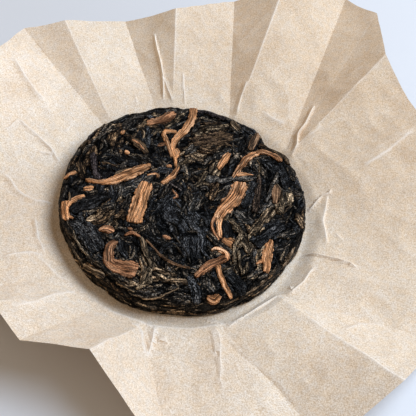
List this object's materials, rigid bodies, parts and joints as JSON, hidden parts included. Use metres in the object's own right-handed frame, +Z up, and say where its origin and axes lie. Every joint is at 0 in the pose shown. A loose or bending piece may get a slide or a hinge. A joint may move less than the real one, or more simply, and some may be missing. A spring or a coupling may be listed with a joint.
{
  "type": "pu erh tea cake",
  "caption": "Small round disc of pressed dark tea leaves with golden buds, lying on its own opened and creased paper wrapper.",
  "frame": {"origin": "under the middle of the cake, on the flat underside of the wrapper that rests on the table", "axes": "+Z up through the cake's thickness, +X to the right and +Y away from the near side"},
  "size_m": [0.2371, 0.2614, 0.0303],
  "materials": {
    "pressed_leaf": "dry pressed tea leaf: near-black twisted leaves with a dull sheen, brown stems and golden buds",
    "wrapper_paper": "thin matt unbleached cotton paper with fine mottled fibres and sharp folds"
  },
  "bodies": {
    "root": {"tea_cake": "pressed_leaf", "wrapper": "wrapper_paper"}
  },
  "joints": []
}
